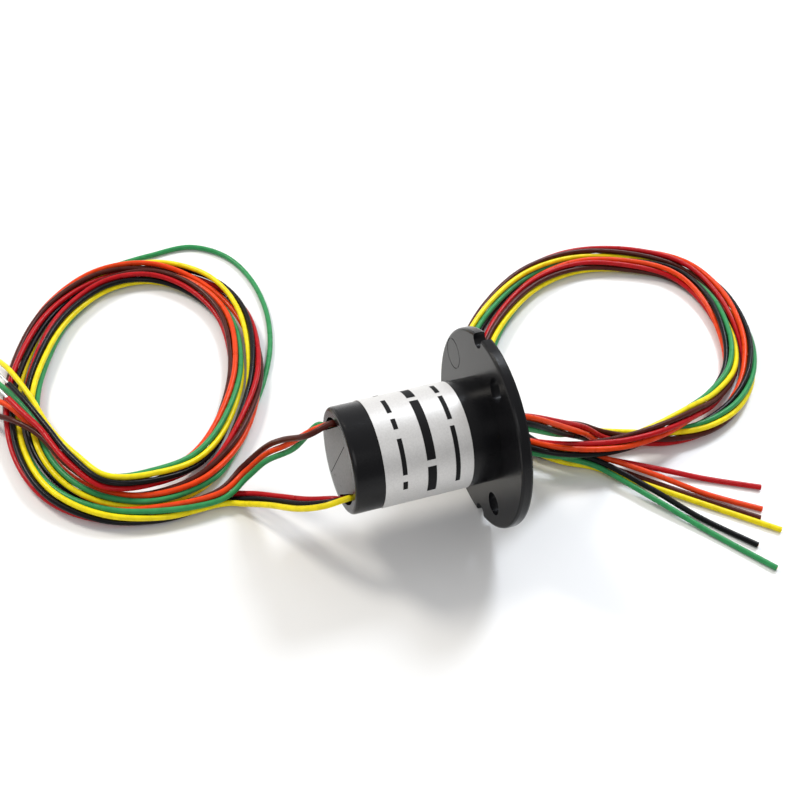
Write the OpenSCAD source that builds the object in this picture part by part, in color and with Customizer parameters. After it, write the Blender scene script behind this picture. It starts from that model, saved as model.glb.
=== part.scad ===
// Capsule slip ring with a mounting flange, six circuits and flying leads.
// Ring axis along X, flange seat face at X = 0, leads out of both ends.

/* [Flange] */
// Outer diameter of the mounting flange
flange_d = 24; // [22:0.5:26]
// Thickness of the mounting flange
flange_t = 1.4; // [1.2:0.1:2]
// Diameter of the circle the screw holes sit on
hole_circle_d = 18; // [17.6:0.1:18.6]
// Diameter of each screw hole
hole_d = 2.8; // [2.2:0.1:3]
// Direction of the first screw hole, in degrees round the axis
hole_angle = 106; // [100:1:112]
// Width of the two notches in the flange rim
notch_w = 2.1; // [1.6:0.1:2.4]
// How far each notch reaches in from the rim
notch_depth = 1.4; // [1:0.1:1.8]

/* [Body] */
// Outer diameter of the barrel
body_d = 12.5; // [12.3:0.1:13.5]
// Room for the leads between the bearing carrier and the end plate
lead_room = 1.2; // [1.1:0.1:3]
// Wall thickness of the barrel
body_wall = 1.15; // [0.9:0.05:1.2]
// Round of the barrel's open edge
body_edge = 0.45; // [0.2:0.05:0.6]
// Thickness of the end plate
plate_t = 1; // [0.8:0.1:1.2]
// Length of the sticker along the barrel
label_l = 10.5; // [8:0.5:11]
// Angle the sticker covers round the barrel
label_span = 282; // [240:1:300]

/* [Rotor] */
// Diameter of the rotor shaft under the rings
shaft_d = 4; // [3.9:0.05:4.1]
// Diameter of the lead bore through the shaft
bore_d = 2.6; // [2.5:0.05:2.7]
// Diameter of the spigot that sticks out of the flange
spigot_d = 5.5; // [5.2:0.1:5.8]
// How far the spigot sticks out of the flange
spigot_l = 1.6; // [1:0.1:2]
// Diameter of the rear journal
journal_d = 3; // [2.9:0.05:3.1]

/* [Ring stack] */
// Width of one contact ring
ring_w = 0.9; // [0.8:0.05:0.95]
// Outer diameter of a contact ring
ring_d = 6.3; // [6.2:0.05:6.4]
// Depth of the groove the wires run in
groove_depth = 0.3; // [0.25:0.05:0.35]
// Width of one insulating washer
insulator_w = 0.6; // [0.5:0.05:0.65]
// Outer diameter of an insulating washer
insulator_d = 7; // [6.8:0.05:7.1]

/* [Brushes] */
// Diameter of the brush wire
wire_d = 0.24; // [0.2:0.02:0.26]
// Thickness of a brush board
board_t = 0.7; // [0.5:0.05:0.75]
// Width of a brush board
board_w = 4.5; // [4.2:0.1:4.6]
// Direction the upper brush board lies in, in degrees round the axis
board_angle = 41; // [36:1:46]

/* [Leads] */
// Outer diameter of one insulated lead
lead_d = 0.72; // [0.6:0.02:0.74]
// Spacing of neighbouring leads in a bundle
lead_pitch = 0.79; // [0.78:0.01:0.82]

/* [Hidden] */
$fn = 64;
circuits = 6;
fit = 0.03;
running_gap = 0.02;
eps = 0.01;

// Front bearing, 4 x 8 x 2
front_od = 8;
front_w = 2;
front_ball_d = 1.2;
front_balls = 7;
// Rear bearing, 3 x 6 x 2
rear_od = 6;
rear_w = 2;
rear_ball_d = 1;
rear_balls = 7;
groove_play = 0.02;
race_share = 0.275;

// Stations along the axis, from the flange face inward
lip_t = 0.8;
sleeve_w = 0.6;
x_lip = flange_t - lip_t;
x_front = x_lip - front_w;
x_stack = x_front - sleeve_w;
pitch = ring_w + insulator_w;
stack_l = circuits * pitch + insulator_w;
x_stack_end = x_stack - stack_l;
x_rear = x_stack_end - sleeve_w;
x_rear_end = x_rear - rear_w;
clip_t = 0.4;
clip_gap = 0.05;
carrier_lip = 0.8;
x_carrier = x_rear_end - carrier_lip;
x_journal = x_rear_end - clip_gap - clip_t - 0.45;
x_spigot = flange_t + spigot_l;
body_l = lead_room + plate_t - x_carrier;
x_bore_end = x_stack_end + 0.1;

// Radii of the stator
body_r = body_d / 2;
bore_r = body_r - body_wall;
front_seat_r = front_od / 2;
lip_r = spigot_d / 2 + 0.45;
rear_seat_r = rear_od / 2;
carrier_lip_r = rear_seat_r - 0.5;
flat_r = insulator_d / 2 + 0.3;
board_end = x_rear - 1.4;
flange_edge = 0.3;

// Radii of the rotor
shaft_r = shaft_d / 2;
journal_r = journal_d / 2;
clip_r = journal_r + 0.7;
clip_groove_r = journal_r - 0.15;
port_r = 0.3;
tail_r = 0.25;

// Brush wires
wire_r = wire_d / 2;
groove_r = ring_d / 2 - groove_depth;
touch_r = groove_r + wire_r + running_gap;
root_y = 2.05;
root_z = flat_r - wire_r - 0.005;
root_len = sqrt(root_y * root_y + root_z * root_z);
touch_a = atan2(root_z, root_y) - acos(touch_r / root_len);
run_on = 1.2;

// Flange marks
mark_r = 9.8;
mark_angle = 25;
mark_size = 1.9;
mark_depth = 0.08;
notch_angle = hole_angle - 33;
label_t = 0.08;
label_x = -3.3;
label_start = 20;

// Leads: heights are above the surface the flange rim stands on
floor_z = -flange_d / 2;
lead_r = lead_d / 2;
lead_sides = 8;
window_r = flat_r + (bore_r - flat_r) * 0.385;
row_pitch = lead_pitch + 0.07;
coil_half = lead_pitch + lead_r;
coil_low = 0.05;
coil_high = 2.3;
lead_colours = ["#1b1b1d", "#7a4a26", "#c8202a", "#f07a1c", "#e9d21f", "#1f9a4c"];
// Window of each lead, upper or lower, and its place in the row
left_window = [1, 0, 1, 0, 1, 0];
left_row = [0, 1, -1, 0, 1, -1];
// Turn of each row about its middle along the run-in, in degrees
left_row_turn = [[0, 75, 145, 180], [14, 0, 0, 0]];
// Places of the leads round the bundle, in degrees, where each bundle starts
left_slot = [270, 150, 210, 90, 330, 30];
right_slot = [156, 336, 36, 96, 276, 216];
// Run-in of the upper and the lower group, then the turns of the coil
left_upper = [[-19.4, 3.5, 14.1], [-21.4, 5.9, 10.1], [-23.4, 8.6, 6.2], [-25.8, 9.4, 3]];
left_lower = [[-19.4, -2.9, 8.85], [-21.7, -0.6, 6.8], [-24, 3.2, 3.9], [-26.4, 6.4, 1.5]];
left_turns = [
    [-29.6, 7.8, 1.2], [-36.4, 7.5, 1.2], [-43, 9.3, 1.2], [-48.4, 14.2, 1.2],
    [-51, 22, 1.2], [-50.7, 31.6, 1.2], [-47.6, 40.8, 1.2], [-43, 48.2, 1.2],
    [-36, 53.2, 1.2], [-28.2, 53.6, 1.2], [-21.5, 48.4, 1.2], [-18.3, 39.6, 1.2],
    [-19.5, 28, 1.2], [-24.2, 18, 1.2],
    [-30, 11.6, 1.2], [-36.4, 9.9, 1.2], [-42.1, 11.6, 1.2], [-46.3, 15.8, 1.2],
    [-48.6, 22.4, 1.2], [-48.3, 31, 1.2], [-45.4, 39.4, 1.2], [-41.4, 46, 1.2],
    [-35.4, 50.8, 1.2], [-28.9, 51.2, 1.2], [-23.5, 46.8, 1.2], [-20.7, 39, 1.2],
    [-21.9, 28.8, 1.2], [-26, 20, 1.2],
    [-30.8, 14.4, 1.6], [-36.6, 12, 2.8], [-41.9, 12.2, 3.6], [-45.2, 16.8, 3.6],
    [-47.6, 22.4, 3.6]];
left_outer = [for (i = [0:13]) left_turns[i]];
left_inner = [for (i = [14:27]) left_turns[i]];
left_over = [for (i = [29:32]) left_turns[i]];
left_tails = [
    [[-48.9, 27.2, 4.4], [-50.6, 31.6, 4.1]],
    [[-51, 25.6, 3.5], [-53.3, 28.8, 2.2], [-54.6, 31.8, 1.2]],
    [[-49.6, 25.5, 4.5], [-51, 28.6, 4.5]],
    [[-51, 28.4, 3.1], [-53.4, 31.9, 2.1], [-55.6, 35.8, 0.42]],
    [[-48.4, 29.4, 3.3], [-50.2, 35.2, 3.1], [-51.8, 39.8, 1.6]],
    [[-50, 29.4, 3.1], [-52.2, 34.4, 2.4], [-53.8, 38.6, 0.42]]];
// The green lead strays out of the left coil for part of one turn
stray = [
    [-32, 55.6, 0.8], [-27.6, 56.8, 0.42], [-21.6, 57.2, 0.42], [-17.1, 53.7, 0.42],
    [-14.9, 47.7, 0.42], [-14.6, 40.3, 0.42], [-16, 33.1, 0.42], [-18.7, 26.6, 0.42],
    [-22.3, 20.5, 0.42], [-25.4, 15.4, 0.7]];
right_turns = [
    [6.6, 0, 11], [11.6, 0.9, 7.6], [15.6, 2.2, 4.6], [19.2, 2.6, 2],
    [23.2, 1.9, 1.2], [28.4, 0.5, 1.2], [34.2, 0.7, 1.2], [40, 3.2, 1.2],
    [45.1, 8.1, 1.2], [48.7, 15.1, 1.2], [50, 24, 1.2], [47.8, 31.6, 1.2],
    [41.3, 36.3, 1.2], [32.8, 38.3, 1.2], [24, 36.4, 1.2], [16, 31, 1.2],
    [9.8, 24.2, 1.2], [6.2, 16.6, 1.2],
    [5.3, 10.2, 1.6], [6.9, 4.8, 3], [10.7, 1.4, 3.6], [15.3, -0.1, 3.6],
    [20.6, -0.6, 3.6], [26.2, 0.1, 3.6], [32, 2.1, 3], [37.6, 5, 1.6],
    [43, 9.4, 1.2], [46.2, 15.8, 1.2], [47.5, 23.8, 1.2], [45.6, 30.1, 1.2],
    [40.2, 33.8, 1.2], [32.7, 35.8, 1.2], [24.8, 34, 1.2], [17.6, 29, 1.2],
    [12, 22.6, 1.2], [9.2, 15.6, 1.2],
    [8.9, 9.4, 1.2], [10.2, 4.8, 1.2], [13.4, 1.7, 1.2], [17.4, -0.8, 1.2]];
right_outer = concat([for (i = [5:22]) right_turns[i]], []);
right_inner = concat([for (i = [25:38]) right_turns[i]], [[19.2, 3, 1.2], [26, 2.2, 1.2]]);
right_over = [for (i = [19:24]) right_turns[i]];
right_tails = [
    [30.5, -18.2], [33.1, -14.6], [35.9, -10.2], [34.1, -13.4], [34.6, -17], [30.8, -21.9]];

// ---------- helpers ----------

// Twist of the left bundle at turn point i, in degrees
function left_twist(i) = 41 * min(i, 8) + 60 * min(max(i - 8, 0), 6) + 33.4 * max(i - 14, 0);

function unit(v) = v / norm(v);

// One step of a smooth curve through a, b, c, d
function smooth(a, b, c, d, t) =
    0.5 * (2 * b + (c - a) * t + (2 * a - 5 * b + 4 * c - d) * t * t
    + (3 * b - a - 3 * c + d) * t * t * t);

// Open smooth curve through the points p, n steps between neighbours
function curve(p, n) =
    let (last = len(p) - 1)
    let (q = concat([2 * p[0] - p[1]], p, [2 * p[last] - p[last - 1]]))
    concat(
        [for (i = [1:last]) for (j = [0:n - 1]) smooth(q[i - 1], q[i], q[i + 1], q[i + 2], j / n)],
        [p[last]]);

// Closed smooth curve through the points p
function ring_curve(p, n) =
    let (m = len(p))
    [for (i = [0:m - 1]) for (j = [0:n - 1])
        smooth(p[(i + m - 1) % m], p[i], p[(i + 1) % m], p[(i + 2) % m], j / n)];

// Direction of a list at point i, and the unit vector to its left in plan
function along(p, i) = p[min(i + 1, len(p) - 1)] - p[max(i - 1, 0)];
function left_of(d) = unit([-d[1], d[0], 0]);

// A point at distance r and angle a from point i of a list, square to the list
function beside(p, i, a, r) =
    let (t = unit(along(p, i)))
    let (n = left_of(t))
    [p[i][0], p[i][1], floor_z + p[i][2]] + (n * cos(a) + cross(t, n) * sin(a)) * r;

// A point of the bundle for a lead whose place is at angle a
function in_bundle(p, i, a) = beside(p, i, a, lead_pitch);

// Closed outline at a sideways distance d from a closed list
function offset_ring(p, d) =
    let (m = len(p))
    [for (i = [0:m - 1])
        let (n = left_of(p[(i + 1) % m] - p[(i + m - 1) % m]))
        [p[i][0] + n[0] * d, p[i][1] + n[1] * d]];

// Outline of a band along an open list, d to each side
function band(p, d) =
    concat(
        [for (i = [0:len(p) - 1]) let (n = left_of(along(p, i))) [p[i][0] + n[0] * d, p[i][1] + n[1] * d]],
        [for (k = [0:len(p) - 1])
            let (i = len(p) - 1 - k)
            let (n = left_of(along(p, i)))
            [p[i][0] - n[0] * d, p[i][1] - n[1] * d]]);

// Round tube of radius r along the points p
module tube(p, r, sides = lead_sides) {
    last = len(p) - 1;
    rings = [for (i = [0:last])
        let (t = unit(along(p, i)))
        let (u = unit(cross(abs(t[2]) > 0.95 ? [0, 1, 0] : [0, 0, 1], t)))
        let (v = cross(t, u))
        for (k = [0:sides - 1])
            let (a = 360 * (k + 0.5) / sides)
            p[i] + r * (cos(a) * u + sin(a) * v)];
    walls = [for (i = [0:last - 1]) for (k = [0:sides - 1])
        let (a = i * sides + k)
        let (b = i * sides + (k + 1) % sides)
        for (f = [[a, a + sides, b + sides], [a, b + sides, b]]) f];
    caps = [[for (k = [0:sides - 1]) k], [for (k = [0:sides - 1]) last * sides + sides - 1 - k]];
    polyhedron(rings, concat(walls, caps), convexity = 6);
}

// Solid of revolution about X: profile points are [radius, x]
module turned(profile) {
    rotate([0, 90, 0])
        rotate_extrude($fn = 96)
            polygon(profile);
}

// Cylinder along X from x0 to x1
module rod(x0, x1, r) {
    translate([x0, 0, 0])
        rotate([0, 90, 0])
            cylinder(h = x1 - x0, r = r);
}

// Ring along X from x0 to x1
module washer(x0, x1, r_in, r_out) {
    turned([[r_in, x0], [r_out, x0], [r_out, x1], [r_in, x1]]);
}

// Places its child in the direction a round the axis
module clock(a) {
    rotate([a, 0, 0])
        children();
}

// Ball set of a bearing on its cage ring
module ball_set(x_mid, r_mid, ball_d, n, cage_w, cage_t) {
    for (i = [0:n - 1])
        clock(360 * i / n)
            translate([x_mid, r_mid, 0])
                sphere(d = ball_d - groove_play, $fn = 40);
    washer(x_mid - cage_w / 2, x_mid + cage_w / 2, r_mid - cage_t / 2, r_mid + cage_t / 2);
}

// Race of a bearing with its ball groove
module race(x0, w, r_in, r_out, r_mid, ball_d) {
    difference() {
        washer(x0, x0 + w, r_in, r_out);
        rotate([0, 90, 0])
            translate([0, 0, x0 + w / 2])
                rotate_extrude($fn = 96)
                    translate([r_mid, 0])
                        circle(d = ball_d + groove_play, $fn = 32);
    }
}

// ---------- stator ----------

module flange_housing() {
    e = flange_edge;
    b = body_edge;
    fr = flange_d / 2;
    color("#17181b")
    difference() {
        turned([
            [bore_r, -body_l], [body_r - b, -body_l], [body_r - b * 0.5, -body_l + b * 0.13],
            [body_r - b * 0.13, -body_l + b * 0.5], [body_r, -body_l + b],
            [body_r, 0], [fr - e, 0], [fr - e * 0.29, e * 0.29], [fr, e],
            [fr, flange_t - e], [fr - e * 0.29, flange_t - e * 0.29], [fr - e, flange_t],
            [lip_r, flange_t], [lip_r, x_lip], [front_seat_r + eps, x_lip],
            [front_seat_r + eps, x_front], [bore_r, x_front]]);
        for (i = [0:2])
            clock(hole_angle + 120 * i)
                translate([0, hole_circle_d / 2, 0])
                    rod(-1, flange_t + 1, hole_d / 2);
        for (i = [0:1])
            clock(notch_angle + 180 * i)
                notch_cut();
        clock(mark_angle)
            mark_cut();
    }
}

module notch_cut() {
    yc = flange_d / 2 - notch_depth + notch_w / 2;
    translate([0, yc, 0])
        rod(-1, flange_t + 1, notch_w / 2);
    translate([-1, yc, -notch_w / 2])
        cube([flange_t + 2, 4, notch_w]);
}

module mark_cut() {
    translate([-1, mark_r, 0])
        rotate([0, 90, 0])
            difference() {
                cylinder(h = 1 + mark_depth, r = mark_size);
                cylinder(h = 1 + mark_depth, r = mark_size - 0.12);
            }
}

// Disc with two flats cut for the lead windows
module flatted_disc(x0, x1, r) {
    intersection() {
        rod(x0, x1, r);
        clock(board_angle)
            translate([x0 - 1, -flat_r, -r - 1])
                cube([x1 - x0 + 2, 2 * flat_r, 2 * r + 2]);
    }
}

module end_plate() {
    color("#1d1e21")
        flatted_disc(-body_l, -body_l + plate_t, bore_r - fit);
}

module bearing_carrier() {
    color("#26282c")
    difference() {
        flatted_disc(x_carrier, x_rear + 0.2, bore_r - fit);
        rod(x_rear_end, x_rear + 1, rear_seat_r + eps);
        rod(x_carrier - 1, x_rear + 1, carrier_lip_r);
    }
}

module body_label() {
    r0 = body_r + eps;
    r1 = r0 + label_t;
    x0 = label_x - label_l;
    color("#d9dbdd")
    rotate([0, 90, 0])
        rotate([0, 0, label_start])
            rotate_extrude(angle = label_span, $fn = 96)
                polygon([[r0, x0], [r1, x0], [r1, label_x], [r0, label_x]]);
}

// Board on its flat, trimmed to the bore of the barrel
module brush_board() {
    intersection() {
        translate([board_end, flat_r, -board_w / 2])
            cube([x_front - board_end, board_t, board_w]);
        rod(board_end - 1, x_front + 1, bore_r - fit);
    }
}

module upper_brush_board() {
    color("#2f6b3f")
        clock(board_angle)
            brush_board();
}

module lower_brush_board() {
    color("#2f6b3f")
        clock(board_angle + 180)
            brush_board();
}

// Middle of contact ring n, counted from the flange
function ring_x(n) = x_stack - n * pitch + ring_w / 2;

// One hairpin wire: a root bar on the board and two springs on the ring
module brush(n) {
    ty = touch_r * cos(touch_a);
    tz = touch_r * sin(touch_a);
    d = unit([0, tz - root_z, ty - root_y]);
    ey = ty + d[2] * run_on;
    ez = tz + d[1] * run_on;
    color("#d8b45a")
        clock(board_angle + (n % 2 == 1 ? 0 : 180))
            tube([
                [ring_x(n), ez, -ey], [ring_x(n), root_z - 0.3, -root_y - 0.1],
                [ring_x(n), root_z, -root_y + 0.25], [ring_x(n), root_z, root_y - 0.25],
                [ring_x(n), root_z - 0.3, root_y + 0.1], [ring_x(n), ez, ey]], wire_r);
}

module front_outer_race() {
    color("#b9bdc2")
        race(x_front, front_w, front_od / 2 - front_od / 2 * 0.1375, front_od / 2, 3, front_ball_d);
}

module rear_outer_race() {
    color("#b9bdc2")
        race(x_rear_end, rear_w, rear_seat_r - 0.45, rear_seat_r, 2.25, rear_ball_d);
}

// Full list of points that a left lead passes before the coil
function left_run_in(i) =
    let (low = left_window[i])
    let (a = board_angle + 180 * low)
    let (u = row_pitch * left_row[i] * (low == 1 ? -1 : 1))
    let (p = low == 1 ? left_lower : left_upper)
    let (row = [0, -sin(a) * u, cos(a) * u])
    let (path = concat(p, [left_turns[0]]))
    concat(
        [for (x = [board_end, -body_l + 1, -body_l - 0.4])
            [x, cos(a) * window_r, sin(a) * window_r] + row],
        [for (k = [0:3]) beside(path, k, left_row_turn[low][k], row_pitch * left_row[i])],
        [in_bundle(left_turns, 0, left_slot[i])]);

function left_tail(i) =
    concat(
        [in_bundle(left_turns, 32, left_slot[i] + left_twist(32))],
        [for (q = left_tails[i]) [q[0], q[1], floor_z + q[2]]]);

function stray_path(i) =
    concat(
        [in_bundle(left_turns, 8, left_slot[i] + left_twist(8))],
        [for (q = stray) [q[0], q[1], floor_z + q[2]]],
        [in_bundle(left_turns, 14, left_slot[i] + left_twist(14))]);

module stator_lead(i) {
    color(lead_colours[i]) {
        tube(curve(left_run_in(i), 2), lead_r);
        tube(curve(left_tail(i), 2), lead_r);
    }
}

module green_stray() {
    color(lead_colours[5])
        tube(curve(stray_path(5), 2), lead_r);
}

// Plain solid of a coil: a flat ring and the turn that lies on it
module coil(outer, inner, over, side) {
    translate([0, 0, floor_z + coil_low])
        linear_extrude(height = coil_high)
            difference() {
                polygon(ring_curve(offset_ring(outer, -side * coil_half), 3));
                polygon(ring_curve(offset_ring(inner, side * coil_half), 3));
            }
    translate([0, 0, floor_z + coil_low + coil_high - eps])
        linear_extrude(height = coil_high - 0.1)
            polygon(band(curve(over, 3), coil_half));
}

module stator_lead_coil() {
    color("#5c4a3c")
        coil(left_outer, left_inner, left_over, -1);
}

// ---------- rotor ----------

module rotor_core() {
    color("#202226")
    difference() {
        turned([
            [0, x_journal], [journal_r, x_journal],
            [journal_r, x_rear_end - clip_gap - clip_t], [clip_groove_r, x_rear_end - clip_gap - clip_t],
            [clip_groove_r, x_rear_end - clip_gap], [journal_r, x_rear_end - clip_gap],
            [journal_r, x_rear], [shaft_r, x_rear],
            [shaft_r, x_lip], [spigot_d / 2 - 0.25, x_lip],
            [spigot_d / 2 - 0.25, flange_t + 0.1], [spigot_d / 2, flange_t + 0.1],
            [spigot_d / 2, x_spigot - 0.2], [spigot_d / 2 - 0.2, x_spigot], [0, x_spigot]]);
        rod(x_bore_end, x_spigot + 1, bore_d / 2);
        for (n = [1:circuits])
            clock(60 * n)
                translate([ring_x(n), 0, 0])
                    rotate([-90, 0, 0])
                        cylinder(h = shaft_r + 1, r = port_r, $fn = 24);
    }
}

module contact_ring(n) {
    w = ring_w / 2;
    x = ring_x(n);
    color("#e0b64a") {
        turned([
            [shaft_r + eps, x - w], [ring_d / 2, x - w], [ring_d / 2, x - w + 0.1],
            [groove_r, x - wire_r - 0.04], [groove_r, x + wire_r + 0.04],
            [ring_d / 2, x + w - 0.1], [ring_d / 2, x + w], [shaft_r + eps, x + w]]);
        clock(60 * n)
            translate([x, bore_d / 2 + 0.05, 0])
                rotate([-90, 0, 0])
                    cylinder(h = shaft_r - bore_d / 2 + 0.2, r = tail_r, $fn = 24);
    }
}

module insulator(n) {
    x1 = x_stack - (n - 1) * pitch;
    color("#e8e4da")
        washer(x1 - insulator_w, x1, shaft_r + eps, insulator_d / 2);
}

module front_sleeve() {
    color("#8f949a")
        washer(x_stack, x_front, shaft_r + eps, shaft_r + 0.6);
}

module rear_sleeve() {
    color("#8f949a")
        washer(x_rear, x_stack_end, shaft_r + eps, shaft_r + 0.4);
}

module front_inner_race() {
    color("#c4c8cc")
        race(x_front, front_w, shaft_r + eps, shaft_r + 0.55, 3, front_ball_d);
}

module rear_inner_race() {
    color("#c4c8cc")
        race(x_rear_end, rear_w, journal_r + eps, journal_r + 0.45, 2.25, rear_ball_d);
}

module front_ball_set() {
    color("#d5d8dc")
        ball_set(x_front + front_w / 2, 3, front_ball_d, front_balls, 0.5, 0.4);
}

module rear_ball_set() {
    color("#d5d8dc")
        ball_set(x_rear_end + rear_w / 2, 2.25, rear_ball_d, rear_balls, 0.4, 0.3);
}

module retaining_clip() {
    x1 = x_rear_end - clip_gap - 0.01;
    color("#9aa0a6")
    difference() {
        washer(x1 - clip_t + 0.02, x1, clip_groove_r + eps, clip_r);
        translate([x1 - 1, 0, -0.9])
            cube([2, clip_r + 1, 1.8]);
    }
}

function right_run_in(i) =
    let (a = right_slot[i] - 36)
    let (hex = [0, lead_pitch * cos(a), lead_pitch * sin(a)])
    concat(
        [for (x = [ring_x(i + 1), x_lip - 0.1, x_spigot + 0.4]) [x, 0, 0] + hex],
        [for (k = [0:3]) in_bundle(right_turns, k, right_slot[i] + 36 * k)]);

function right_tail(i) =
    let (s = in_bundle(right_turns, 39, right_slot[i] + 36 * 39))
    let (e = [right_tails[i][0], right_tails[i][1], floor_z + lead_r + 0.03])
    let (m = s * 0.67 + e * 0.33)
    let (n = s * 0.34 + e * 0.66)
    [s, m, [n[0], n[1], e[2]], e];

module rotor_lead(i) {
    color(lead_colours[i]) {
        tube(curve(right_run_in(i), 3), lead_r);
        tube(curve(right_tail(i), 2), lead_r);
    }
}

module rotor_lead_coil() {
    color("#5c4a3c")
        coil(right_outer, right_inner, right_over, 1);
}

// ---------- one module per node ----------

module brush_1() { brush(1); }
module brush_2() { brush(2); }
module brush_3() { brush(3); }
module brush_4() { brush(4); }
module brush_5() { brush(5); }
module brush_6() { brush(6); }
module contact_ring_1() { contact_ring(1); }
module contact_ring_2() { contact_ring(2); }
module contact_ring_3() { contact_ring(3); }
module contact_ring_4() { contact_ring(4); }
module contact_ring_5() { contact_ring(5); }
module contact_ring_6() { contact_ring(6); }
module insulator_1() { insulator(1); }
module insulator_2() { insulator(2); }
module insulator_3() { insulator(3); }
module insulator_4() { insulator(4); }
module insulator_5() { insulator(5); }
module insulator_6() { insulator(6); }
module insulator_7() { insulator(7); }
module stator_lead_black() { stator_lead(0); }
module stator_lead_brown() { stator_lead(1); }
module stator_lead_red() { stator_lead(2); }
module stator_lead_orange() { stator_lead(3); }
module stator_lead_yellow() { stator_lead(4); }
module stator_lead_green() {
    stator_lead(5);
    green_stray();
}
module rotor_lead_black() { rotor_lead(0); }
module rotor_lead_brown() { rotor_lead(1); }
module rotor_lead_red() { rotor_lead(2); }
module rotor_lead_orange() { rotor_lead(3); }
module rotor_lead_yellow() { rotor_lead(4); }
module rotor_lead_green() { rotor_lead(5); }

flange_housing();
end_plate();
body_label();
bearing_carrier();
upper_brush_board();
lower_brush_board();
brush_1();
brush_2();
brush_3();
brush_4();
brush_5();
brush_6();
front_outer_race();
rear_outer_race();
stator_lead_black();
stator_lead_brown();
stator_lead_red();
stator_lead_orange();
stator_lead_yellow();
stator_lead_green();
stator_lead_coil();
rotor_core();
contact_ring_1();
contact_ring_2();
contact_ring_3();
contact_ring_4();
contact_ring_5();
contact_ring_6();
insulator_1();
insulator_2();
insulator_3();
insulator_4();
insulator_5();
insulator_6();
insulator_7();
front_sleeve();
rear_sleeve();
front_inner_race();
rear_inner_race();
front_ball_set();
rear_ball_set();
retaining_clip();
rotor_lead_black();
rotor_lead_brown();
rotor_lead_red();
rotor_lead_orange();
rotor_lead_yellow();
rotor_lead_green();
rotor_lead_coil();
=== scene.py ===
import math
import bpy
import bmesh
from mathutils import Matrix, Vector


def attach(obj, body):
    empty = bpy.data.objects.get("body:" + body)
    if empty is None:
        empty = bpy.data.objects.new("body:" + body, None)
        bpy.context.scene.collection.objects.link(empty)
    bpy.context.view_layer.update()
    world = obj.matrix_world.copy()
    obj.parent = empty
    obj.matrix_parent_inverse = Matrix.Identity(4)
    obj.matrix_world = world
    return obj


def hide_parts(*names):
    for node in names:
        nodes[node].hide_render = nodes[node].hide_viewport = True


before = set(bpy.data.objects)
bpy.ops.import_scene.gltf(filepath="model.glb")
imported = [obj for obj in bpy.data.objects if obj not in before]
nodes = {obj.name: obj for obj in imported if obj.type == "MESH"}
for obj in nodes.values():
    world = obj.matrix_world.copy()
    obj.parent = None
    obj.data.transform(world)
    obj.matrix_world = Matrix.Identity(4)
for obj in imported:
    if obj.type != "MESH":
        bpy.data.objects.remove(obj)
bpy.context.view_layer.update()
MM = 0.001

# ---------- sizes, in millimetres, as in the part's source ----------

FLANGE_R = 12.0
BODY_R = 6.25
BODY_L = 17.2
BORE_R = 5.1
FLAT_R = 3.8        # flats of the end plate
BOARD_END = -13.6
BOARD_ANGLE = 41.0
WINDOW_SHARE = 0.385  # where a lead lies between flat and bore
WINDOW_R = FLAT_R + (BORE_R - FLAT_R) * WINDOW_SHARE
LABEL_T = 0.09
LABEL_R = BODY_R + LABEL_T
SPIGOT_X = 3.0
LEAD_R = 0.36
PITCH = 0.79
ROW_PLAY = 0.07
ROW = PITCH + ROW_PLAY
FLOOR = -FLANGE_R
FIRST_RING_FACE = -2.6
RING_PITCH = 1.5
RING_W = 0.9
RING_X = [FIRST_RING_FACE - RING_PITCH * n - RING_W / 2 for n in range(6)]
COLOURS = ["black", "brown", "red", "orange", "yellow", "green"]

# ---------- routes of the leads: x, y and height above the table ----------

LEFT_LOW = dict(black=1, brown=0, red=1, orange=0, yellow=1, green=0)
LEFT_ROW = dict(black=0, brown=1, red=-1, orange=0, yellow=1, green=-1)
LEFT_ROW_TURN = [[0, 75, 145, 180], [14, 0, 0, 0]]
LEFT_SLOT = dict(black=270, brown=150, red=210, orange=90, yellow=330, green=30)
RIGHT_SLOT = dict(black=156, brown=336, red=36, orange=96, yellow=276, green=216)
LEFT_UPPER = [(-19.4, 3.5, 14.1), (-21.4, 5.9, 10.1), (-23.4, 8.6, 6.2), (-25.8, 9.4, 3.0)]
LEFT_LOWER = [(-19.4, -2.9, 8.85), (-21.7, -0.6, 6.8), (-24, 3.2, 3.9), (-26.4, 6.4, 1.5)]
LEFT_TURNS = [
    (-29.6, 7.8, 1.2), (-36.4, 7.5, 1.2), (-43, 9.3, 1.2), (-48.4, 14.2, 1.2),
    (-51, 22, 1.2), (-50.7, 31.6, 1.2), (-47.6, 40.8, 1.2), (-43, 48.2, 1.2),
    (-36, 53.2, 1.2), (-28.2, 53.6, 1.2), (-21.5, 48.4, 1.2), (-18.3, 39.6, 1.2),
    (-19.5, 28, 1.2), (-24.2, 18, 1.2),
    (-30, 11.6, 1.2), (-36.4, 9.9, 1.2), (-42.1, 11.6, 1.2), (-46.3, 15.8, 1.2),
    (-48.6, 22.4, 1.2), (-48.3, 31, 1.2), (-45.4, 39.4, 1.2), (-41.4, 46, 1.2),
    (-35.4, 50.8, 1.2), (-28.9, 51.2, 1.2), (-23.5, 46.8, 1.2), (-20.7, 39, 1.2),
    (-21.9, 28.8, 1.2), (-26, 20, 1.2),
    (-30.8, 14.4, 1.6), (-36.6, 12, 2.8), (-41.9, 12.2, 3.6), (-45.2, 16.8, 3.6),
    (-47.6, 22.4, 3.6)]
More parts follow.
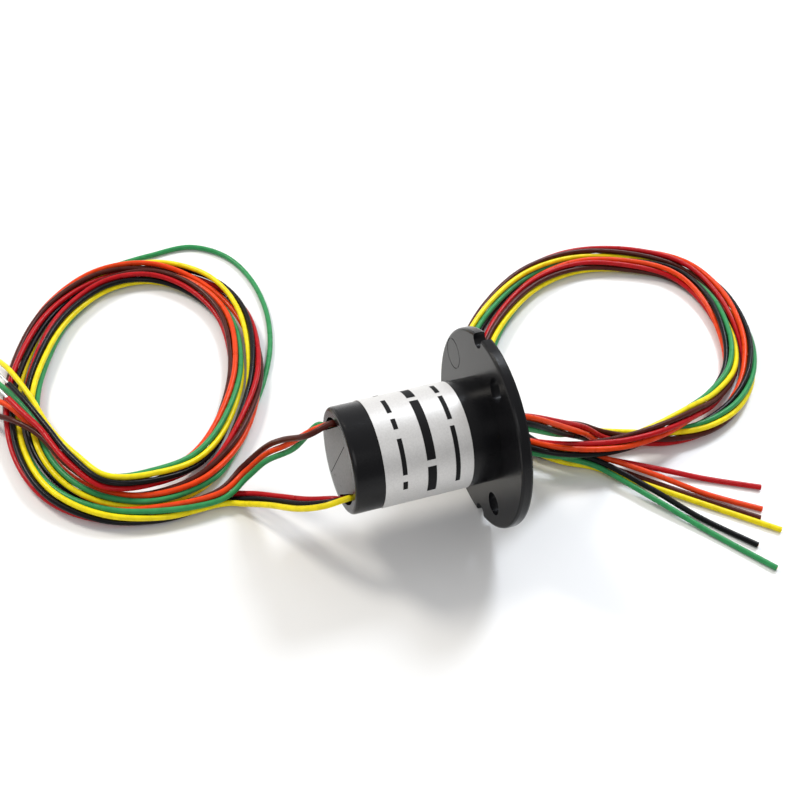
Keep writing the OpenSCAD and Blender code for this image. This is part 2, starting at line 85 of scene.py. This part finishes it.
LEFT_TAILS = dict(
    black=[(-48.9, 27.2, 4.4), (-50.6, 31.6, 4.1)],
    brown=[(-51, 25.6, 3.5), (-53.3, 28.8, 2.2), (-54.6, 31.8, 1.2)],
    red=[(-49.6, 25.5, 4.5), (-51, 28.6, 4.5)],
    orange=[(-51, 28.4, 3.1), (-53.4, 31.9, 2.1), (-55.6, 35.8, 0.42)],
    yellow=[(-48.4, 29.4, 3.3), (-50.2, 35.2, 3.1), (-51.8, 39.8, 1.6)],
    green=[(-50, 29.4, 3.1), (-52.2, 34.4, 2.4), (-53.8, 38.6, 0.42)])
STRAY = [
    (-32, 55.6, 0.8), (-27.6, 56.8, 0.42), (-21.6, 57.2, 0.42), (-17.1, 53.7, 0.42),
    (-14.9, 47.7, 0.42), (-14.6, 40.3, 0.42), (-16, 33.1, 0.42), (-18.7, 26.6, 0.42),
    (-22.3, 20.5, 0.42), (-25.4, 15.4, 0.7)]
RIGHT_TURNS = [
    (6.6, 0, 11), (11.6, 0.9, 7.6), (15.6, 2.2, 4.6), (19.2, 2.6, 2),
    (23.2, 1.9, 1.2), (28.4, 0.5, 1.2), (34.2, 0.7, 1.2), (40, 3.2, 1.2),
    (45.1, 8.1, 1.2), (48.7, 15.1, 1.2), (50, 24, 1.2), (47.8, 31.6, 1.2),
    (41.3, 36.3, 1.2), (32.8, 38.3, 1.2), (24, 36.4, 1.2), (16, 31, 1.2),
    (9.8, 24.2, 1.2), (6.2, 16.6, 1.2),
    (5.3, 10.2, 1.6), (6.9, 4.8, 3), (10.7, 1.4, 3.6), (15.3, -0.1, 3.6),
    (20.6, -0.6, 3.6), (26.2, 0.1, 3.6), (32, 2.1, 3), (37.6, 5, 1.6),
    (43, 9.4, 1.2), (46.2, 15.8, 1.2), (47.5, 23.8, 1.2), (45.6, 30.1, 1.2),
    (40.2, 33.8, 1.2), (32.7, 35.8, 1.2), (24.8, 34, 1.2), (17.6, 29, 1.2),
    (12, 22.6, 1.2), (9.2, 15.6, 1.2),
    (8.9, 9.4, 1.2), (10.2, 4.8, 1.2), (13.4, 1.7, 1.2), (17.4, -0.8, 1.2)]
RIGHT_TIPS = dict(
    black=(30.5, -18.2), brown=(33.1, -14.6), red=(35.9, -10.2),
    orange=(34.1, -13.4), yellow=(34.6, -17), green=(30.8, -21.9))
STRAY_FROM, STRAY_TO = 8, 14     # points between which the green lead strays
LEFT_TWIST = (41, 60, 33.4)      # degrees a point, before, beside and after the stray
RIGHT_TWIST = 36                 # degrees a point
TIP_CLEAR = 0.03                 # a cut tip above the table
SMOOTH_STEPS = 10


def left_twist(i):
    """How far the left bundle has turned round itself at point i, in degrees."""
    before, beside_it, after = LEFT_TWIST
    return (before * min(i, STRAY_FROM)
            + beside_it * min(max(i - STRAY_FROM, 0), STRAY_TO - STRAY_FROM)
            + after * max(i - STRAY_TO, 0))


def on_table(p):
    return Vector((p[0], p[1], FLOOR + p[2]))


def along(points, i):
    a = Vector(points[max(i - 1, 0)])
    b = Vector(points[min(i + 1, len(points) - 1)])
    return (b - a).normalized()


def beside(points, i, degrees, distance):
    """A point at a distance from point i, square to the way the bundle runs."""
    t, a = along(points, i), math.radians(degrees)
    n = Vector((-t.y, t.x, 0)).normalized()
    return on_table(points[i]) + (n * math.cos(a) + t.cross(n) * math.sin(a)) * distance


def in_bundle(points, i, degrees):
    return beside(points, i, degrees, PITCH)


def left_route(name):
    low, row, slot = LEFT_LOW[name], LEFT_ROW[name], LEFT_SLOT[name]
    a = math.radians(BOARD_ANGLE + 180 * low)
    u = ROW * row * (-1 if low else 1)
    side = Vector((0, -math.sin(a) * u, math.cos(a) * u))
    out = Vector((0, math.cos(a) * WINDOW_R, math.sin(a) * WINDOW_R))
    group = LEFT_LOWER if low else LEFT_UPPER
    path = group + LEFT_TURNS[:1]
    route = [Vector((x, 0, 0)) + out + side
             for x in (BOARD_END, -BODY_L + 1, -BODY_L - 0.4)]
    route += [beside(path, k, LEFT_ROW_TURN[low][k], ROW * row) for k in range(4)]
    for i in range(len(LEFT_TURNS)):
        if name == "green" and STRAY_FROM < i < STRAY_TO:
            continue
        route.append(in_bundle(LEFT_TURNS, i, slot + left_twist(i)))
        if name == "green" and i == STRAY_FROM:
            route += [on_table(p) for p in STRAY]
    return route + [on_table(p) for p in LEFT_TAILS[name]]


def right_route(name):
    slot = RIGHT_SLOT[name]
    a = math.radians(slot - RIGHT_TWIST)
    hexagon = Vector((0, PITCH * math.cos(a), PITCH * math.sin(a)))
    start = RING_X[COLOURS.index(name)]
    route = [Vector((x, 0, 0)) + hexagon for x in (start, 0.5, SPIGOT_X + 0.4)]
    route += [in_bundle(RIGHT_TURNS, i, slot + RIGHT_TWIST * i)
              for i in range(len(RIGHT_TURNS))]
    s, tip = route[-1], Vector((*RIGHT_TIPS[name], FLOOR + LEAD_R + TIP_CLEAR))
    near = s * 0.34 + tip * 0.66
    near.z = tip.z
    return route + [s * 0.67 + tip * 0.33, near, tip]


def smooth(points, steps):
    """Catmull-Rom curve through the points."""
    q = [points[0] * 2 - points[1]] + points + [points[-1] * 2 - points[-2]]
    line = []
    for i in range(1, len(q) - 2):
        a, b, c, d = q[i - 1:i + 3]
        for k in range(steps):
            t = k / steps
            line.append(0.5 * (2 * b + (c - a) * t + (2 * a - 5 * b + 4 * c - d) * t * t
                               + (3 * b - a - 3 * c + d) * t ** 3))
    return line + [points[-1]]


# ---------- camera ----------

SENSOR, LENS = 36, 54.72
CLIP = 0.005, 5
CAMERA_AT = (-48.01, -86.78, 102.42)
CAMERA_LOOK = (0.2819, 0.6485, -0.7071)
CAMERA_RIGHT = (0.9369, -0.3450, 0.0571)

cam_data = bpy.data.cameras.new("camera")
cam = bpy.data.objects.new("camera", cam_data)
bpy.context.scene.collection.objects.link(cam)
bpy.context.scene.camera = cam
cam_data.sensor_width = SENSOR
cam_data.lens = LENS
cam_data.clip_start, cam_data.clip_end = CLIP
view_dir = Vector(CAMERA_LOOK).normalized()
cam_right = Vector(CAMERA_RIGHT)
cam_right = (cam_right - view_dir * cam_right.dot(view_dir)).normalized()
cam_up = cam_right.cross(view_dir)
turn = Matrix((cam_right, cam_up, -view_dir)).transposed().to_4x4()
cam.matrix_world = Matrix.Translation(Vector(CAMERA_AT) * MM) @ turn

# ---------- material tools ----------


def new_material(name, colour, roughness, **extra):
    m = bpy.data.materials.new(name)
    m.use_nodes = True
    b = m.node_tree.nodes["Principled BSDF"]
    b.inputs["Base Color"].default_value = (*colour, 1)
    b.inputs["Roughness"].default_value = roughness
    for key, value in extra.items():
        b.inputs[key.replace("_", " ")].default_value = value
    return m


def link(m, a, out, b, into):
    m.node_tree.links.new(a.outputs[out], b.inputs[into])


def add(m, kind):
    return m.node_tree.nodes.new(kind)


GRAIN_DETAIL = 3.0
TINT_SPAN = 0.35, 0.65


def grain(m, scale, strength, distance, rough=None, tint=None):
    """Fine noise as bump, and where asked as a change of roughness or colour too."""
    b = m.node_tree.nodes["Principled BSDF"]
    where = add(m, "ShaderNodeTexCoord")
    noise = add(m, "ShaderNodeTexNoise")
    noise.inputs["Scale"].default_value = scale
    noise.inputs["Detail"].default_value = GRAIN_DETAIL
    link(m, where, "Object", noise, "Vector")
    bump = add(m, "ShaderNodeBump")
    bump.inputs["Strength"].default_value = strength
    bump.inputs["Distance"].default_value = distance
    link(m, noise, "Fac", bump, "Height")
    link(m, bump, "Normal", b, "Normal")
    if rough:
        span = add(m, "ShaderNodeMapRange")
        span.inputs["To Min"].default_value, span.inputs["To Max"].default_value = rough
        link(m, noise, "Fac", span, "Value")
        link(m, span, "Result", b, "Roughness")
    if tint:
        ramp = add(m, "ShaderNodeValToRGB")
        for stop, position, colour in zip(ramp.color_ramp.elements, TINT_SPAN, tint):
            stop.position = position
            stop.color = (*colour, 1)
        link(m, noise, "Fac", ramp, "Fac")
        link(m, ramp, "Color", b, "Base Color")


def dress(node, *materials):
    o = nodes[node]
    o.data.materials.clear()
    for m in materials:
        o.data.materials.append(m)


# ---------- materials ----------

LEAD_RGB = dict(
    black=(0.003, 0.003, 0.004), brown=(0.066, 0.010, 0.006), red=(0.44, 0.004, 0.008),
    orange=(0.76, 0.055, 0.006), yellow=(0.86, 0.70, 0.008), green=(0.035, 0.27, 0.09))
lead_mat = {}
for c, rgb in LEAD_RGB.items():
    m = new_material("lead_" + c, rgb, 0.28, Specular_IOR_Level=0.17)
    grain(m, 900, 0.12, 0.00002, rough=(0.22, 0.36),
          tint=(tuple(v * 0.9 for v in rgb), tuple(min(1, v * 1.08) for v in rgb)))
    lead_mat[c] = m

housing = new_material("housing_black", (0.006, 0.006, 0.007), 0.2, Specular_IOR_Level=0.2)
grain(housing, 4200, 0.4, 0.00003, rough=(0.14, 0.3))
plate = new_material("plate_black", (0.05, 0.05, 0.05), 0.26)
grain(plate, 3800, 0.35, 0.00003, rough=(0.28, 0.45))
carrier = new_material("carrier_grey", (0.035, 0.036, 0.04), 0.5)
grain(carrier, 3000, 0.3, 0.00003, rough=(0.42, 0.6))
rotor = new_material("rotor_black", (0.02, 0.02, 0.022), 0.38)
grain(rotor, 3000, 0.3, 0.00003, rough=(0.3, 0.48))
film = new_material("sticker_silver", (0.66, 0.65, 0.64), 0.4, Metallic=0.35)
grain(film, 5200, 0.15, 0.00001, rough=(0.34, 0.46),
      tint=((0.63, 0.62, 0.61), (0.69, 0.68, 0.67)))
ink = new_material("print_black", (0.008, 0.008, 0.009), 0.5, Specular_IOR_Level=0.1)
grain(ink, 5000, 0.2, 0.00001, rough=(0.45, 0.6))
# near-black matt colour for a thin dark line and two small dark dots drawn on the end
# plate
dark_mark_mat = new_material("end_plate_dark", (0.003, 0.003, 0.003), 0.9, Specular_IOR_Level=0.0)
grain(dark_mark_mat, 5000, 0.2, 0.00001, rough=(0.85, 0.95))
board = new_material("board_green", (0.02, 0.13, 0.05), 0.35)
grain(board, 2500, 0.15, 0.00002, tint=((0.017, 0.11, 0.042), (0.025, 0.15, 0.06)))
gold = new_material("gold_ring", (0.85, 0.60, 0.20), 0.18, Metallic=1.0)
grain(gold, 3500, 0.08, 0.00001, rough=(0.12, 0.26))
washer = new_material("washer_natural", (0.72, 0.68, 0.56), 0.5)
grain(washer, 2500, 0.2, 0.00002, rough=(0.42, 0.58))
steel = new_material("bearing_steel", (0.62, 0.63, 0.65), 0.16, Metallic=1.0)
grain(steel, 5000, 0.06, 0.00001, rough=(0.1, 0.24))
plain = new_material("plain_steel", (0.45, 0.46, 0.48), 0.34, Metallic=1.0)
grain(plain, 4000, 0.12, 0.00001, rough=(0.28, 0.42))
tin = new_material("tinned_end", (0.66, 0.67, 0.68), 0.26, Metallic=1.0)
grain(tin, 2600, 0.5, 0.00004, rough=(0.2, 0.4))
copper = new_material("cut_copper", (0.66, 0.36, 0.22), 0.35, Metallic=1.0)
grain(copper, 5200, 0.6, 0.00004, rough=(0.3, 0.5))

dress("flange_housing", housing)
dress("end_plate", plate)
dress("bearing_carrier", carrier)
dress("body_label", film)
dress("upper_brush_board", board)
dress("lower_brush_board", board)
for n in range(1, 7):
    dress(f"brush_{n}", gold)
    dress(f"contact_ring_{n}", gold)
for n in range(1, 8):
    dress(f"insulator_{n}", washer)
for n in ("front_outer_race", "rear_outer_race", "front_inner_race", "rear_inner_race",
          "front_ball_set", "rear_ball_set"):
    dress(n, steel)
for n in ("front_sleeve", "rear_sleeve", "retaining_clip"):
    dress(n, plain)
dress("rotor_core", rotor)

# ---------- print on the sticker and marks on the end plate ----------


def mesh_piece(name, verts, faces, material, body, slot):
    me = bpy.data.meshes.new(name)
    me.from_pydata([tuple(v * MM) for v in verts], [], faces)
    me.materials.append(material)
    o = bpy.data.objects.new(name, me)
    bpy.context.scene.collection.objects.link(o)
    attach(o, body)


def wrapped_bars(rows, radius, step=2.0):
    """Bars that lie round the barrel: each row is x, height and its (from, to) angles."""
    verts, faces = [], []
    for x, height, bars in rows:
        for a0, a1 in bars:
            n = max(2, round((a1 - a0) / step))
            base = len(verts)
            for k in range(n + 1):
                a = math.radians(a0 + (a1 - a0) * k / n)
                for side in (-0.5, 0.5):
                    verts.append(Vector((x + side * height,
                                         radius * math.cos(a), radius * math.sin(a))))
            faces += [(base + 2 * k, base + 2 * k + 1, base + 2 * k + 3, base + 2 * k + 2)
                      for k in range(n)]
    return verts, faces


PRINT_ROWS = [
    (-5.2, 0.55, [(-40, -12), (-4, 44), (60, 78), (84, 114), (121, 184)]),
    (-8.3, 1.05, [(-46, 30), (54, 76), (82, 150), (157, 190)]),
    (-11.5, 0.55, [(-30, 18), (26, 50), (70, 92), (100, 112), (122, 160), (168, 178)])]
PRINT_LIFT = 0.012
mesh_piece("label_print", *wrapped_bars(PRINT_ROWS, LABEL_R + PRINT_LIFT), ink,
           "stator", "label")

# a thin dark line and two small dark dots drawn on the end plate
DARK_LINE = Vector((0, -1.55, 3.99)), Vector((0, 2.40, -4.38))
DARK_LINE_WIDTH = 0.1
DOTS = [(1.16, -3.61, 0.11), (-1.02, -3.14, 0.09)]
DOT_SIDES = 8
MARK_LIFT = 0.006
lift = Vector((-BODY_L - MARK_LIFT, 0, 0))
along_dark_line = (DARK_LINE[1] - DARK_LINE[0]).normalized()
across = Vector((0, -along_dark_line.z, along_dark_line.y)) * DARK_LINE_WIDTH / 2
verts = [lift + DARK_LINE[0] + across, lift + DARK_LINE[0] - across,
         lift + DARK_LINE[1] - across, lift + DARK_LINE[1] + across]
faces = [(0, 1, 2, 3)]
for y, z, r in DOTS:
    base = len(verts)
    turns = [k * 2 * math.pi / DOT_SIDES for k in range(DOT_SIDES)]
    verts += [lift + Vector((0, y + r * math.cos(a), z + r * math.sin(a))) for a in turns]
    faces.append(tuple(range(base, base + DOT_SIDES)))
mesh_piece("end_plate_marks", verts, faces, dark_mark_mat, "stator", "end_plate")

# ---------- leads ----------


def curve_piece(name, line, radius, material, sides=5):
    data = bpy.data.curves.new(name, "CURVE")
    data.dimensions = "3D"
    data.bevel_depth = radius * MM
    data.bevel_resolution = sides
    data.use_fill_caps = True
    s = data.splines.new("POLY")
    s.points.add(len(line) - 1)
    for p, v in zip(s.points, line):
        p.co = (*(v * MM), 1)
    s.use_smooth = True
    data.materials.append(material)
    o = bpy.data.objects.new(name, data)
    bpy.context.scene.collection.objects.link(o)
    return o


STRIPPED = 3.0
TINNED_R = 0.19
TINNED_CLEAR = 0.02   # a tinned end above the table
COPPER_R = 0.17
COPPER_OUT = 0.04     # how far a cut core stands out of its insulation
CORE_IN = 0.4         # how far a core reaches back inside it

for side in ("stator", "rotor"):
    for c in COLOURS:
        route = left_route(c) if side == "stator" else right_route(c)
        line = smooth(route, SMOOTH_STEPS)
        o = curve_piece(f"{side}_wire_{c}", line, LEAD_R, lead_mat[c])
        extra = [f"{side}_lead_coil"] if c == "black" else []
        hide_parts(f"{side}_lead_{c}", *extra)
        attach(o, side)
        end, back = line[-1], (line[-1] - line[-3]).normalized()
        lowest = FLOOR + TINNED_R + TINNED_CLEAR
        back.z = max(back.z, (lowest - end.z) / STRIPPED)
        if side == "stator":
            core = curve_piece(
                f"stator_tinned_{c}",
                [end - back * CORE_IN, end + back * STRIPPED * 0.5, end + back * STRIPPED],
                TINNED_R, tin, 4)
        else:
            core = curve_piece(
                f"rotor_core_{c}", [end - back * CORE_IN, end + back * COPPER_OUT],
                COPPER_R, copper, 4)
        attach(core, side)

# ---------- floor, world and lamps ----------

FLOOR_SIZE = 3.0
FLOOR_DROP = 0.01
SKY_STRENGTH = 0.32, 0.85        # from the front to the back
LAMPS = [                        # name, place, aim, size, power, colour
    ("back_left", (-0.25, 0.35, 0.45), (0, 0.02, 0), 0.16, 1.9, (1.0, 0.95, 0.86)),
    ("back_right", (0.32, 0.30, 0.45), (0, 0.02, 0), 0.16, 1.9, (0.88, 0.93, 1.0)),
    ("front", (-0.1, -0.45, 0.5), (0, 0, 0), 0.4, 0.8, (1, 1, 1))]

floor_me = bpy.data.meshes.new("floor")
bm = bmesh.new()
bmesh.ops.create_grid(bm, x_segments=1, y_segments=1, size=FLOOR_SIZE)
bm.to_mesh(floor_me)
bm.free()
floor = bpy.data.objects.new("floor", floor_me)
floor.location.z = (FLOOR - FLOOR_DROP) * MM
bpy.context.scene.collection.objects.link(floor)
table_mat = new_material("table_white", (0.86, 0.86, 0.86), 0.4)
floor_me.materials.append(table_mat)

world = bpy.data.worlds.new("world")
bpy.context.scene.world = world
world.use_nodes = True
bg = world.node_tree.nodes["Background"]
bg.inputs["Color"].default_value = (1, 1, 1, 1)
sky = add(world, "ShaderNodeTexCoord")
split = add(world, "ShaderNodeSeparateXYZ")
level = add(world, "ShaderNodeMapRange")
level.inputs["From Min"].default_value, level.inputs["From Max"].default_value = -1, 1
level.inputs["To Min"].default_value, level.inputs["To Max"].default_value = SKY_STRENGTH
link(world, sky, "Generated", split, "Vector")
link(world, split, "Y", level, "Value")
link(world, level, "Result", bg, "Strength")


def lamp(name, place, aim, size, power, colour):
    data = bpy.data.lights.new(name, "AREA")
    data.shape = "DISK"
    data.size = size
    data.energy = power
    data.color = colour
    o = bpy.data.objects.new(name, data)
    o.location = place
    o.rotation_mode = "QUATERNION"
    o.rotation_quaternion = (Vector(aim) - Vector(place)).to_track_quat("-Z", "Y")
    bpy.context.scene.collection.objects.link(o)


for row in LAMPS:
    lamp(*row)

bpy.context.scene.view_settings.view_transform = "Standard"
